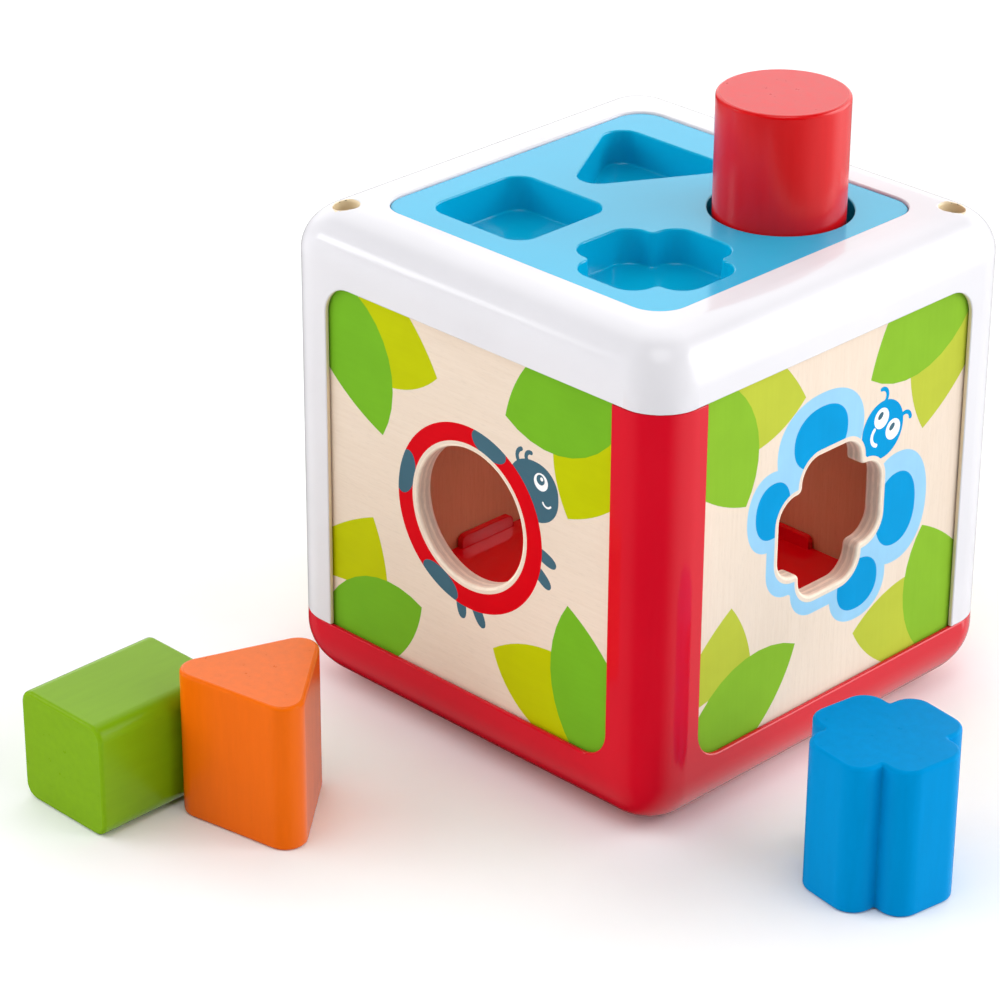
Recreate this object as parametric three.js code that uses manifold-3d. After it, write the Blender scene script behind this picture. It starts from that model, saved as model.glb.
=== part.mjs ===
// Shape sorter: a cube-shaped box with a red base, a white rim, four plywood sides, a lift-out
// sorting tray and four wooden blocks. Millimetres, +Z up. The origin is the centre of the box's
// underside; the round hole is on the -Y side and the cross-shaped hole on the +X side. The red
// posts stand at the corners (+X, -Y) and (-X, +Y), the white legs at the other two corners.
import * as THREE from 'three';
import { mergeVertices } from 'three/addons/utils/BufferGeometryUtils.js';
import Module from 'manifold-3d';

const wasm = await Module();
wasm.setup();

// ---- the box ----
const HALF = 65;                  // half of its width
const HEIGHT = 132;               // top of the rim
const CORNER_RADIUS = 12.4;       // upright corners
const END_CORNER_RADIUS = 4;      // the same corners where the roundings meet the flat ends
const RIM_ROUNDING = 11.7;        // top edge
const BASE_ROUNDING = 15.5;       // bottom edge
const GAP = 0.3;                  // clearance between pieces that touch

// ---- the four windows and what stands behind them ----
const WINDOW_HALF = 48.8;
const WINDOW_LOW = 18.9;          // top of the base's wall
const WINDOW_HIGH = 115.5;        // lower edge of the rim
const WINDOW_CORNER = 8;
const PANEL_THICKNESS = 5;
const PANEL_FRONT = 63.5;         // distance of the panels' outer faces from the centre
const PANEL_HALF = 52.8;
const PANEL_LOW = 14.3;
const PANEL_HIGH = 119.2;
const GROOVE_OUT = PANEL_FRONT + GAP;
const GROOVE_IN = PANEL_FRONT - PANEL_THICKNESS - GAP;
const GROOVE_HALF = PANEL_HALF + GAP;
const PILLAR_IN = 46.5;           // inner side of the posts and legs
const BACK_LIP = 56.2;            // inner side of the lip behind the panels

// ---- base ----
const FLOOR_TOP = 18;
const FLOOR_UNDER = 14.5;
const RECESS_HALF = 44;           // recess under the floor
const RIB_HALF = 1.5;
const HUB_RADIUS = 12;
const TAB_HALF = 9.75;            // tabs that hold the panels' lower edges
const TAB_TOP = 21.7;
const TAB_CORNER = 2;
const TENON_HALF = 3;             // tenons on the posts, in the rim's pockets
const TENON_HEIGHT = 8;

// ---- rim ----
const LEDGE_TOP = 128.6;          // ledge that the sorting tray rests on
const LEDGE_UNDER = 126;
const LEDGE_HALF = 45.2;
const SEAT_HALF = 48;
const SEAT_CORNER = 8.3;

// ---- leg screws ----
const SCREW_PLACE = 53.3;         // on the diagonal, from the centre along X and along Y
const WELL_RADIUS = 3.25;         // screw well in the leg
const SCREW_SEAT = 24;
const SHANK_RADIUS = 1.5;
const SCREW_TIP = 6;
const HEAD_RADIUS = 2.8;
const HEAD_HEIGHT = 2;

// ---- sorting tray ----
const TRAY_TOP = 131.5;
const TRAY_HALF = 47.7;
const TRAY_CORNER = 8;
const PLATE_THICKNESS = 2.6;
const WELL_DEPTH = 9.2;
const CUP_WALL = 1.6;
const WELL_DRAFT = 0.4;
const WELL_FLOOR = TRAY_TOP - WELL_DEPTH;

// ---- the four shapes: hole and well sizes, and how much smaller the blocks are ----
const CIRCLE_RADIUS = 18.35;
const SQUARE_SIDE = 32.4;
const SQUARE_CORNER = 5.5;
const TRIANGLE_SIDE = 45.6;
const TRIANGLE_CORNER = 5.4;
const CROSS_REACH = 19.1;
const CROSS_ARM_HALF = 10.95;
const CROSS_CORNER = 6.1;
const CROSS_NOTCH = 1.8;

// ---- blocks ----
const BLOCK_HEIGHT = 40;
const BLOCK_ROUNDING = 1.8;
const ROUND_BLOCK_RADIUS = 16.8;
const SQUARE_BLOCK_SIDE = 30.6;
const TRIANGLE_BLOCK_SIDE = 43.8;
const CROSS_BLOCK_REACH = 18.35;
const CROSS_BLOCK_ARM_HALF = 10.3;
const CROSS_BLOCK_CORNER = 6.5;
const CROSS_BLOCK_NOTCH = 1.3;

// The places of the shapes on the tray; the panels have theirs near the middle.
const SQUARE_WELL = [-22.4, -23.4];
const CROSS_WELL = [23.3, -23.0];
const TRIANGLE_WELL = [-23.2, 21.6];
const CIRCLE_WELL = [23.1, 23.1];
const HOLE_HEIGHT = 67.7;

// Where the loose blocks lie, and how far they are turned, in degrees.
const ROUND_BLOCK_PLACE = [23.6, 22.0];       // in its well, off the middle by a part of its play
const SQUARE_BLOCK_PLACE = [-48, -115];       // the middle of its end nearer the box
const TRIANGLE_BLOCK_PLACE = [-15.6, -118.4];
const TRIANGLE_BLOCK_TURN = -50.35;
const CROSS_BLOCK_PLACE = [110, -33.3];
const CROSS_BLOCK_TURN = -8.4;

// ---- flat facets on round stretches ----
const CORNER_STEPS = 5;
const CIRCLE_STEPS = 32;
const SKIN_STEPS = 6;
const BLOCK_STEPS = 2;
const BORE_STEPS = 16;
const SCREW_STEPS = 12;

// ================= outlines =================

// A closed outline through corners [x, y, radius], anticlockwise, each corner rounded by an arc.
function roundedOutline(corners, steps = CORNER_STEPS) {
  const points = [];
  corners.forEach(([x, y, radius], index) => {
    const corner = new THREE.Vector2(x, y);
    const before = corners.at(index - 1);
    const after = corners[(index + 1) % corners.length];
    const back = new THREE.Vector2(before[0], before[1]).sub(corner).normalize();
    const ahead = new THREE.Vector2(after[0], after[1]).sub(corner).normalize();
    if (!radius) {
      points.push(corner);
      return;
    }
    const halfAngle = Math.acos(back.dot(ahead)) / 2;
    const middle = back.clone().add(ahead).normalize();
    const centre = corner.clone().addScaledVector(middle, radius / Math.sin(halfAngle));
    const from = corner.clone().addScaledVector(back, radius / Math.tan(halfAngle)).sub(centre);
    const turn = (Math.PI - 2 * halfAngle) * Math.sign(ahead.cross(back));
    for (let step = 0; step <= steps; step += 1) {
      const spoke = from.clone().rotateAround(new THREE.Vector2(), (turn * step) / steps);
      points.push(spoke.add(centre));
    }
  });
  return points;
}

function squareOutline(half, radius) {
  return roundedOutline([[half, -half, radius], [half, half, radius],
    [-half, half, radius], [-half, -half, radius]]);
}

function circleOutline(radius) {
  return Array.from({ length: CIRCLE_STEPS }, (_, step) => {
    const angle = (step / CIRCLE_STEPS) * 2 * Math.PI;
    return new THREE.Vector2(radius * Math.cos(angle), radius * Math.sin(angle));
  });
}

// An equilateral triangle that points down the page.
function triangleOutline(side, radius) {
  const reach = side / Math.sqrt(3);
  const corners = [-90, 30, 150].map((degrees) => {
    const angle = THREE.MathUtils.degToRad(degrees);
    return [reach * Math.cos(angle), reach * Math.sin(angle), radius];
  });
  return roundedOutline(corners);
}

function crossOutline(reach, armHalf, corner, notch) {
  const quarter = [[reach, -armHalf, corner], [reach, armHalf, corner], [armHalf, armHalf, notch]];
  const corners = [];
  for (let turn = 0; turn < 4; turn += 1) {
    const cos = Math.round(Math.cos((turn * Math.PI) / 2));
    const sin = Math.round(Math.sin((turn * Math.PI) / 2));
    quarter.forEach(([x, y, radius]) => corners.push([x * cos - y * sin, x * sin + y * cos, radius]));
  }
  return roundedOutline(corners);
}

// Each hole or block outline, set in by a distance all round (out, where it is negative).
const holes = {
  circle: (inset) => circleOutline(CIRCLE_RADIUS - inset),
  square: (inset) => squareOutline(SQUARE_SIDE / 2 - inset, SQUARE_CORNER - inset),
  triangle: (inset) => triangleOutline(TRIANGLE_SIDE - 2 * Math.sqrt(3) * inset,
    TRIANGLE_CORNER - inset),
  cross: (inset) => crossOutline(CROSS_REACH - inset, CROSS_ARM_HALF - inset,
    CROSS_CORNER - inset, CROSS_NOTCH + inset),
};

const blocks = {
  circle: (inset) => circleOutline(ROUND_BLOCK_RADIUS - inset),
  square: (inset) => squareOutline(SQUARE_BLOCK_SIDE / 2 - inset, SQUARE_CORNER - inset),
  triangle: (inset) => triangleOutline(TRIANGLE_BLOCK_SIDE - 2 * Math.sqrt(3) * inset,
    TRIANGLE_CORNER - inset),
  cross: (inset) => crossOutline(CROSS_BLOCK_REACH - inset, CROSS_BLOCK_ARM_HALF - inset,
    CROSS_BLOCK_CORNER - inset, CROSS_BLOCK_NOTCH + inset),
};

// ================= solids =================

function solidFrom(geometry) {
  geometry.deleteAttribute('normal');
  geometry.deleteAttribute('uv');
  const merged = mergeVertices(geometry);
  return new wasm.Manifold(new wasm.Mesh({
    numProp: 3,
    vertProperties: new Float32Array(merged.attributes.position.array),
    triVerts: new Uint32Array(merged.index.array),
  }));
}

function geometryFrom(solid) {
  const mesh = solid.getMesh();
  const geometry = new THREE.BufferGeometry();
  geometry.setAttribute('position', new THREE.BufferAttribute(mesh.vertProperties, 3));
  geometry.setIndex(new THREE.BufferAttribute(mesh.triVerts, 1));
  return geometry;
}

// A closed skin over a stack of rings [{ outline, z }] that all have the same number of points.
function stacked(rings) {
  const count = rings[0].outline.length;
  const positions = rings.flatMap(({ outline, z }) => outline.flatMap((point) => [point.x, point.y, z]));
  const index = [];
  for (let ring = 1; ring < rings.length; ring += 1) {
    for (let point = 0; point < count; point += 1) {
      const next = (point + 1) % count;
      const [low, high] = [(ring - 1) * count, ring * count];
      index.push(low + point, low + next, high + next);
      index.push(low + point, high + next, high + point);
    }
  }
  const top = (rings.length - 1) * count;
  THREE.ShapeUtils.triangulateShape(rings[0].outline, [])
    .forEach(([a, b, c]) => index.push(a, c, b));
  THREE.ShapeUtils.triangulateShape(rings.at(-1).outline, [])
    .forEach(([a, b, c]) => index.push(top + a, top + b, top + c));
  const geometry = new THREE.BufferGeometry();
  geometry.setAttribute('position', new THREE.Float32BufferAttribute(positions, 3));
  geometry.setIndex(index);
  return solidFrom(geometry);
}

// A column of an outline, with its lower and upper edges rounded.
function column(outlineAt, low, high, roundLow, roundHigh, steps) {
  const rings = [];
  const quarter = Math.PI / 2;
  for (let step = 0; step <= (roundLow ? steps : 0); step += 1) {
    const angle = roundLow ? (quarter * step) / steps : quarter;
    const inset = roundLow * (1 - Math.sin(angle));
    rings.push({ outline: outlineAt(inset), z: low + roundLow * (1 - Math.cos(angle)) });
  }
  for (let step = 0; step <= (roundHigh ? steps : 0); step += 1) {
    const angle = roundHigh ? (quarter * step) / steps : 0;
    const inset = roundHigh * (1 - Math.cos(angle));
    rings.push({ outline: outlineAt(inset), z: high - roundHigh * (1 - Math.sin(angle)) });
  }
  return stacked(rings);
}

function prism(outline, low, high) {
  return stacked([{ outline, z: low }, { outline, z: high }]);
}

function box([xLow, xHigh], [yLow, yHigh], [zLow, zHigh]) {
  const geometry = new THREE.BoxGeometry(xHigh - xLow, yHigh - yLow, zHigh - zLow);
  geometry.translate((xLow + xHigh) / 2, (yLow + yHigh) / 2, (zLow + zHigh) / 2);
  return solidFrom(geometry);
}

// A plus-shaped space: two boxes that cross, of half-widths a by b and b by a.
function crossedBoxes(a, b, heights) {
  return box([-a, a], [-b, b], heights).add(box([-b, b], [-a, a], heights));
}

// An outline drawn on the -Y side (x to the right, z up), reaching from `near` to `far`.
function onWall(outline, near, far) {
  return prism(outline, near, far).rotate([90, 0, 0]);
}

// Cuts each side in turn: -Y, +X, +Y, -X. `side` is +1 where the red post is on the right of the
// side, seen from outside, and -1 where it is on the left.
function cutEachSide(solid, makeCutter) {
  return [0, 1, 2, 3].reduce((result, turn) => {
    const side = turn % 2 === 0 ? 1 : -1;
    return result.subtract(makeCutter(side).rotate([0, 0, 90 * turn]));
  }, solid);
}

// The two ends of a diagonal, as [x sign, y sign].
const POST_CORNERS = [[1, -1], [-1, 1]];
const LEG_CORNERS = [[-1, -1], [1, 1]];

function cornerBox([signX, signY], near, far, heights) {
  const span = (sign) => (sign > 0 ? [near, far] : [-far, -near]);
  return box(span(signX), span(signY), heights);
}

function upright(radius, x, y, low, high) {
  const geometry = new THREE.CylinderGeometry(radius, radius, high - low, BORE_STEPS);
  geometry.rotateX(Math.PI / 2);
  geometry.translate(x, y, (low + high) / 2);
  return solidFrom(geometry);
}

// The box's outer skin between two heights.
function boxSkin(low, high, roundLow, roundHigh) {
  const shrink = (CORNER_RADIUS - END_CORNER_RADIUS) / Math.max(roundLow, roundHigh);
  const outlineAt = (inset) => squareOutline(HALF - inset, CORNER_RADIUS - shrink * inset);
  return column(outlineAt, low, high, roundLow, roundHigh, SKIN_STEPS);
}

function panelGroove(low, high) {
  return box([-GROOVE_HALF, GROOVE_HALF], [-GROOVE_OUT, -GROOVE_IN], [low, high]);
}

// ================= the box's pieces =================

const OUTSIDE = HALF + 1;

// The window of one side, cut through the wall in front of the panel. Its edge stops at the
// piece's own pillar with a rounded corner, and runs off the piece at the other side.
function windowCutter(pillarSide, low, high, cornerAtTop) {
  const nearX = pillarSide * WINDOW_HALF;
  const farX = -pillarSide * OUTSIDE;
  const [roundedZ, squareZ] = cornerAtTop ? [high, low] : [low, high];
  const outline = roundedOutline([[nearX, roundedZ, WINDOW_CORNER], [nearX, squareZ, 0],
    [farX, squareZ, 0], [farX, roundedZ, 0]]);
  if (THREE.ShapeUtils.isClockWise(outline)) outline.reverse();
  return onWall(outline, GROOVE_IN, OUTSIDE);
}

function panelTab() {
  const outline = roundedOutline([[-TAB_HALF, FLOOR_UNDER, 0], [TAB_HALF, FLOOR_UNDER, 0],
    [TAB_HALF, TAB_TOP, TAB_CORNER], [-TAB_HALF, TAB_TOP, TAB_CORNER]]);
  return onWall(outline, BACK_LIP, GROOVE_IN);
}

function underFloorRecess() {
  const heights = [-1, FLOOR_UNDER];
  const quadrants = [...POST_CORNERS, ...LEG_CORNERS]
    .map((corner) => cornerBox(corner, RIB_HALF, RECESS_HALF, heights));
  const recess = quadrants.reduce((all, quadrant) => all.add(quadrant));
  return recess.subtract(upright(HUB_RADIUS, 0, 0, -2, FLOOR_UNDER + 1));
}

function baseTray() {
  const postTop = WINDOW_HIGH - GAP;
  let solid = boxSkin(0, postTop, BASE_ROUNDING, 0);
  solid = solid.subtract(crossedBoxes(PILLAR_IN, GROOVE_IN, [FLOOR_TOP, HEIGHT]));
  for (const corner of LEG_CORNERS) {
    solid = solid.subtract(cornerBox(corner, PILLAR_IN - 1, OUTSIDE, [WINDOW_LOW, HEIGHT]));
    solid = solid.subtract(upright(SHANK_RADIUS + GAP, corner[0] * SCREW_PLACE,
      corner[1] * SCREW_PLACE, SCREW_TIP - GAP, HEIGHT));
  }
  solid = cutEachSide(solid, (side) => windowCutter(side, WINDOW_LOW, HEIGHT, false));
  solid = cutEachSide(solid, () => panelGroove(PANEL_LOW - GAP, HEIGHT));
  solid = solid.subtract(underFloorRecess());
  for (let turn = 0; turn < 4; turn += 1) {
    solid = solid.add(panelTab().rotate([0, 0, 90 * turn]));
  }
  for (const corner of POST_CORNERS) {
    const near = SCREW_PLACE - TENON_HALF;
    const far = SCREW_PLACE + TENON_HALF;
    solid = solid.add(cornerBox(corner, near, far, [postTop - 1, postTop + TENON_HEIGHT]));
  }
  return solid;
}

function topFrame() {
  const legBottom = WINDOW_LOW + GAP;
  let solid = boxSkin(legBottom, HEIGHT, 0, RIM_ROUNDING);
  solid = solid.subtract(crossedBoxes(PILLAR_IN, GROOVE_IN, [0, WINDOW_HIGH]));
  solid = solid.subtract(crossedBoxes(PILLAR_IN, BACK_LIP, [0, LEDGE_UNDER]));
  solid = cutEachSide(solid, (side) => windowCutter(-side, 0, WINDOW_HIGH, true));
  solid = cutEachSide(solid, () => panelGroove(0, PANEL_HIGH + GAP));
  for (const corner of POST_CORNERS) {
    solid = solid.subtract(cornerBox(corner, PILLAR_IN - 1, OUTSIDE, [0, WINDOW_HIGH]));
    const near = SCREW_PLACE - TENON_HALF - GAP;
    const far = SCREW_PLACE + TENON_HALF + GAP;
    solid = solid.subtract(cornerBox(corner, near, far, [WINDOW_HIGH - 1, WINDOW_HIGH + TENON_HEIGHT]));
  }
  for (const corner of LEG_CORNERS) {
    const [x, y] = corner.map((sign) => sign * SCREW_PLACE);
    solid = solid.subtract(upright(WELL_RADIUS, x, y, SCREW_SEAT, HEIGHT + 1));
    solid = solid.subtract(upright(SHANK_RADIUS + GAP, x, y, 0, SCREW_SEAT + 1));
  }
  solid = solid.subtract(prism(squareOutline(LEDGE_HALF, SEAT_CORNER), LEDGE_UNDER - 1, HEIGHT));
  solid = solid.subtract(prism(squareOutline(SEAT_HALF, SEAT_CORNER), LEDGE_TOP, HEIGHT + 1));
  return solid;
}

function sortingTray() {
  const places = { circle: CIRCLE_WELL, square: SQUARE_WELL, triangle: TRIANGLE_WELL, cross: CROSS_WELL };
  let solid = prism(squareOutline(TRAY_HALF, TRAY_CORNER), TRAY_TOP - PLATE_THICKNESS, TRAY_TOP);
  for (const [shape, [x, y]] of Object.entries(places)) {
    const cup = prism(holes[shape](-CUP_WALL), WELL_FLOOR - CUP_WALL, TRAY_TOP - 1);
    solid = solid.add(cup.translate([x, y, 0]));
  }
  for (const [shape, [x, y]] of Object.entries(places)) {
    const well = stacked([{ outline: holes[shape](WELL_DRAFT), z: WELL_FLOOR },
      { outline: holes[shape](0), z: TRAY_TOP + 1 }]);
    solid = solid.subtract(well.translate([x, y, 0]));
  }
  return solid;
}

// A panel as it stands on the -Y side, its hole `across` to the right of the middle.
function panel(shape, across) {
  const sheet = roundedOutline([[-PANEL_HALF, PANEL_LOW, 0], [PANEL_HALF, PANEL_LOW, 0],
    [PANEL_HALF, PANEL_HIGH, 0], [-PANEL_HALF, PANEL_HIGH, 0]]);
  const back = PANEL_FRONT - PANEL_THICKNESS;
  const hole = onWall(holes[shape](0), back - 1, PANEL_FRONT + 1);
  return onWall(sheet, back, PANEL_FRONT).subtract(hole.translate([across, 0, HOLE_HEIGHT]));
}

function legScrew() {
  const under = SCREW_SEAT + GAP;
  const profile = [[0, SCREW_TIP], [SHANK_RADIUS * 0.4, SCREW_TIP + 0.4],
    [SHANK_RADIUS, SCREW_TIP + 3], [SHANK_RADIUS, under], [HEAD_RADIUS, under],
    [HEAD_RADIUS, under + HEAD_HEIGHT * 0.6], [HEAD_RADIUS * 0.6, under + HEAD_HEIGHT],
    [0, under + HEAD_HEIGHT]];
  const points = profile.map(([radius, height]) => new THREE.Vector2(radius, height));
  return new THREE.LatheGeometry(points, SCREW_STEPS).rotateX(Math.PI / 2);
}

function block(shape) {
  const edge = BLOCK_ROUNDING;
  return geometryFrom(column(blocks[shape], 0, BLOCK_HEIGHT, edge, edge, BLOCK_STEPS));
}

// ================= the assembly =================

const plastic = (color) => new THREE.MeshStandardMaterial({ color, roughness: 0.25, metalness: 0 });
const paintedWood = (color) => new THREE.MeshStandardMaterial({ color, roughness: 0.4, metalness: 0 });
const plywood = new THREE.MeshStandardMaterial({ color: '#ecd9c8', roughness: 0.55, metalness: 0 });
const steel = new THREE.MeshStandardMaterial({ color: '#b8bcc0', roughness: 0.35, metalness: 1 });

const sorter = new THREE.Group();

function addPiece(name, geometry, material, place = [0, 0, 0]) {
  const mesh = new THREE.Mesh(geometry, material);
  mesh.name = name;
  mesh.position.set(...place);
  sorter.add(mesh);
  return mesh;
}

addPiece('base_tray', geometryFrom(baseTray()), plastic('#c8142d'));
addPiece('top_frame', geometryFrom(topFrame()), plastic('#eeeef5'));
addPiece('sorting_tray', geometryFrom(sortingTray()), plastic('#4fb6e0'));

// The sides in order round the box, from -Y; the holes are a little off the middle.
[['circle', 0.6], ['cross', -1], ['square', 0], ['triangle', 0]].forEach(([shape, across], turn) => {
  const side = addPiece(`panel_${shape}`, geometryFrom(panel(shape, across)), plywood);
  side.rotation.z = (turn * Math.PI) / 2;
});

addPiece('leg_screw_left', legScrew(), steel, [-SCREW_PLACE, -SCREW_PLACE, 0]);
addPiece('leg_screw_right', legScrew(), steel, [SCREW_PLACE, SCREW_PLACE, 0]);

addPiece('round_block', block('circle'), paintedWood('#c81923'),
  [...ROUND_BLOCK_PLACE, WELL_FLOOR + GAP]);

const squareBlock = addPiece('square_block', block('square'), paintedWood('#82af23'),
  [...SQUARE_BLOCK_PLACE, SQUARE_BLOCK_SIDE / 2]);
squareBlock.rotation.x = Math.PI / 2;

const triangleBlock = addPiece('triangle_block', block('triangle'), paintedWood('#e87314'),
  [...TRIANGLE_BLOCK_PLACE, 0]);
triangleBlock.rotation.z = THREE.MathUtils.degToRad(TRIANGLE_BLOCK_TURN);

const crossBlock = addPiece('cross_block', block('cross'), paintedWood('#0096dc'),
  [...CROSS_BLOCK_PLACE, 0]);
crossBlock.rotation.z = THREE.MathUtils.degToRad(CROSS_BLOCK_TURN);

export default sorter;
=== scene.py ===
import math

import bpy
from mathutils import Matrix, Vector
from mathutils.geometry import delaunay_2d_cdt


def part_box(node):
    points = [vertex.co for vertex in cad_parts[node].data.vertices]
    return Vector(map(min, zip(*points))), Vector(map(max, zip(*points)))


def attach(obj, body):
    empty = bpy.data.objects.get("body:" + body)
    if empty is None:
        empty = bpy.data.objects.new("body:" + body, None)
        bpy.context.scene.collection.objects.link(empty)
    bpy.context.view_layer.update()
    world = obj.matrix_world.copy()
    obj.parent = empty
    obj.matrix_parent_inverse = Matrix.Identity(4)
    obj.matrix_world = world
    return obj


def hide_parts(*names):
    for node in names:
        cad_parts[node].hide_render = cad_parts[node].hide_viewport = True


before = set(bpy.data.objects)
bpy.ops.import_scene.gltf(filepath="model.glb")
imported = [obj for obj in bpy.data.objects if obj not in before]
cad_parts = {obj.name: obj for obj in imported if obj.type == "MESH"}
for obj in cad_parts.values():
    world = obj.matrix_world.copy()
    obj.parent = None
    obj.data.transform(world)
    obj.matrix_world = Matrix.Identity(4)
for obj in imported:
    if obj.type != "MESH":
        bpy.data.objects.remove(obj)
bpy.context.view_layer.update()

MM = 0.001


def box_mm(node):
    low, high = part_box(node)
    return low / MM, high / MM


# ---- camera ----
CAMERA_AIM = (0.0, -52.1, 68.3)
CAMERA_DISTANCE = 928.0
CAMERA_AZIMUTH = 44.81
CAMERA_ELEVATION = 26.91
CAMERA_ROLL = 0.30
CAMERA_LENS = 135.04
CAMERA_SENSOR = 36.0

# ---- light, in metres, watts and degrees round from the camera ----
FLOOR_REACH = 8.0
ROOM_BRIGHTNESS = 0.01
LAMP_AIM = (0, -0.03, 0.06)
LAMP_DISTANCE = 1.8
LAMP_SIZE = 1.6
LAMPS = (               # name, turn, elevation, power
    ("front_left", -60, 12, 12.5),
    ("front_right", 60, 30, 15.6),
    ("back_left", -115, 12, 13.0),
    ("left", -95, 32, 9.5),
    ("high_left", -30, 60, 5.5),
)
GLOW_SIZE = 0.07
GLOW_SPREAD = math.radians(95)
GLOW_POWER = 0.025
GLOW_COLOUR = (1.0, 0.06, 0.03)
GLOW_BELOW_TRAY = 5.0   # in millimetres

# ---- the box, from the frame ----
RIM_LOW, RIM_HIGH = box_mm("top_frame")
TRAY_LOW, TRAY_HIGH = box_mm("sorting_tray")
PANEL_LOW_CORNER, PANEL_HIGH_CORNER = box_mm("panel_circle")
HALF = RIM_HIGH.x
HEIGHT = RIM_HIGH.z
TRAY_TOP = TRAY_HIGH.z
PANEL_FRONT = -PANEL_LOW_CORNER.y
PANEL_BACK = -PANEL_HIGH_CORNER.y
PANEL_HALF = PANEL_HIGH_CORNER.x
PANEL_LOW = PANEL_LOW_CORNER.z
PANEL_HIGH = PANEL_HIGH_CORNER.z
OUTSIDE = HALF + 1        # past the outer faces

# ---- the box ----
CORNER_RADIUS = 12.4
END_CORNER_RADIUS = 4.0
RIM_ROUNDING = 11.7
BASE_ROUNDING = 15.5
GAP = 0.3
SEAM = 0.06
WINDOW_HALF = 48.8
WINDOW_LOW = 18.9
WINDOW_HIGH = 115.5
WINDOW_CORNER = 8.0
GROOVE_OUT = PANEL_FRONT + GAP
GROOVE_IN = PANEL_BACK - GAP
GROOVE_MIDDLE = (GROOVE_OUT + GROOVE_IN) / 2
GROOVE_HALF = PANEL_HALF + GAP
PILLAR_IN = 46.5
BACK_LIP = 56.2
FLOOR_TOP = 18.0
FLOOR_UNDER = 14.5
RECESS_HALF = 44.0
RIB_HALF = 1.5
HUB_RADIUS = 12.0
TAB_HALF = 9.75
TAB_TOP = 21.7
TAB_CORNER = 2.0
TENON_HALF = 3.0
TENON_HEIGHT = 8.0
LEDGE_TOP = 128.6
LEDGE_UNDER = 126.0
LEDGE_HALF = 45.2
SEAT_HALF = 48.0
SEAT_CORNER = 8.3
SCREW_PLACE = 53.3
WELL_RADIUS = 3.25
SCREW_SEAT = 24.0
SHANK_RADIUS = 1.5
SCREW_TIP = 6.0
POINT_LENGTH = 2.0
HEAD_RADIUS = 2.8
HEAD_HEIGHT = 2.0
HEAD_EDGE = 0.15
SLOT_REACH = 1.5
SLOT_HALF = 0.35

# ---- sorting tray ----
TRAY_HALF = SEAT_HALF - SEAM
TRAY_CORNER = SEAT_CORNER - SEAM
PLATE_THICKNESS = 2.6
WELL_DEPTH = 9.2
CUP_WALL = 1.6
WELL_DRAFT = 0.4
CUP_FOOT = 1.0
WELL_FLOOR = TRAY_TOP - WELL_DEPTH

# ---- hole, well and block outlines ----
CIRCLE_RADIUS = 18.35
SQUARE_SIDE = 32.4
SQUARE_CORNER = 5.5
TRIANGLE_SIDE = 45.6
TRIANGLE_CORNER = 5.4
CROSS_REACH = 19.1
CROSS_ARM_HALF = 10.95
CROSS_CORNER = 6.1
CROSS_NOTCH = 1.8
LEAST_NOTCH = 0.05
BLOCK_HEIGHT = 40.0
ROUND_BLOCK_RADIUS = 16.8
SQUARE_BLOCK_SIDE = 30.6
SQUARE_BLOCK_CORNER = 4.0
TRIANGLE_BLOCK_SIDE = 43.8
CROSS_BLOCK_REACH = 18.18
CROSS_BLOCK_ARM_HALF = 10.3
CROSS_BLOCK_CORNER = 5.8
CROSS_BLOCK_NOTCH = 0.35

# ---- places ----
WELL_PLACES = {"square": (-22.4, -23.4), "cross": (23.3, -23.0),
               "triangle": (-23.2, 21.6), "circle": (23.1, 23.1)}
HOLE_HEIGHT = 67.7
HOLE_ACROSS = {"circle": 0.6, "cross": -1.0, "square": 0.0, "triangle": 0.0}
SIDES = ("circle", "cross", "square", "triangle")       # from -Y on, a quarter turn apart
ROUND_BLOCK_PLACE = (23.6, 22.0, WELL_FLOOR + SEAM)
SQUARE_BLOCK_PLACE = (-48.0, -115.0, SQUARE_BLOCK_SIDE / 2)
TRIANGLE_BLOCK_PLACE = (-15.6, -118.4, 0.0)
TRIANGLE_BLOCK_TURN = -50.35
CROSS_BLOCK_PLACE = (110.0, -33.3, 0.0)
CROSS_BLOCK_TURN = -8.4

# ---- small roundings and how finely they are drawn ----
WINDOW_EDGE = 0.55
SEAT_EDGE = 0.6
TRAY_EDGE = 0.6
WELL_EDGE = 0.55
WELL_FOOT = 0.6
WELL_MOUTH = 0.9
HOLE_EDGE = 0.7
BLOCK_EDGE = 1.0
MOULD_EDGE = 0.25
CUT_PAST = 0.02
OVERLAP = 1.0        # how far a joined or cutting solid runs past the face that it meets
ARC_STEPS = 10
CORNER_STEPS = 16
CIRCLE_STEPS = 96
EDGE_STEPS = 5
SKIN_STEPS = 20
BORE_STEPS = 40
WELD_DISTANCE = 1e-4
SHARP_ANGLE = math.radians(50)
SMOOTH_ANGLE = math.radians(32)


# ================= outlines =================

def rounded_outline(corners, steps=ARC_STEPS):
    """A closed outline through corners (x, y, radius), each corner rounded by an arc."""
    points = []
    for index, (x, y, radius) in enumerate(corners):
        corner = Vector((x, y))
        back = (Vector(corners[index - 1][:2]) - corner).normalized()
        ahead = (Vector(corners[(index + 1) % len(corners)][:2]) - corner).normalized()
        if radius <= 0:
            points.append(corner)
            continue
        half_angle = back.angle(ahead) / 2
        centre = corner + (back + ahead).normalized() * (radius / math.sin(half_angle))
        spoke = corner + back * (radius / math.tan(half_angle)) - centre
        turn = math.copysign(math.pi - 2 * half_angle, ahead.cross(back))
        for step in range(steps + 1):
            points.append(centre + Matrix.Rotation(turn * step / steps, 2) @ spoke)
    return points


def square_outline(half, radius, steps=ARC_STEPS):
    return rounded_outline([(half, -half, radius), (half, half, radius),
                            (-half, half, radius), (-half, -half, radius)], steps)


def box_outline(x_low, x_high, y_low, y_high):
    return [Vector((x_low, y_low)), Vector((x_high, y_low)),
            Vector((x_high, y_high)), Vector((x_low, y_high))]


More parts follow.
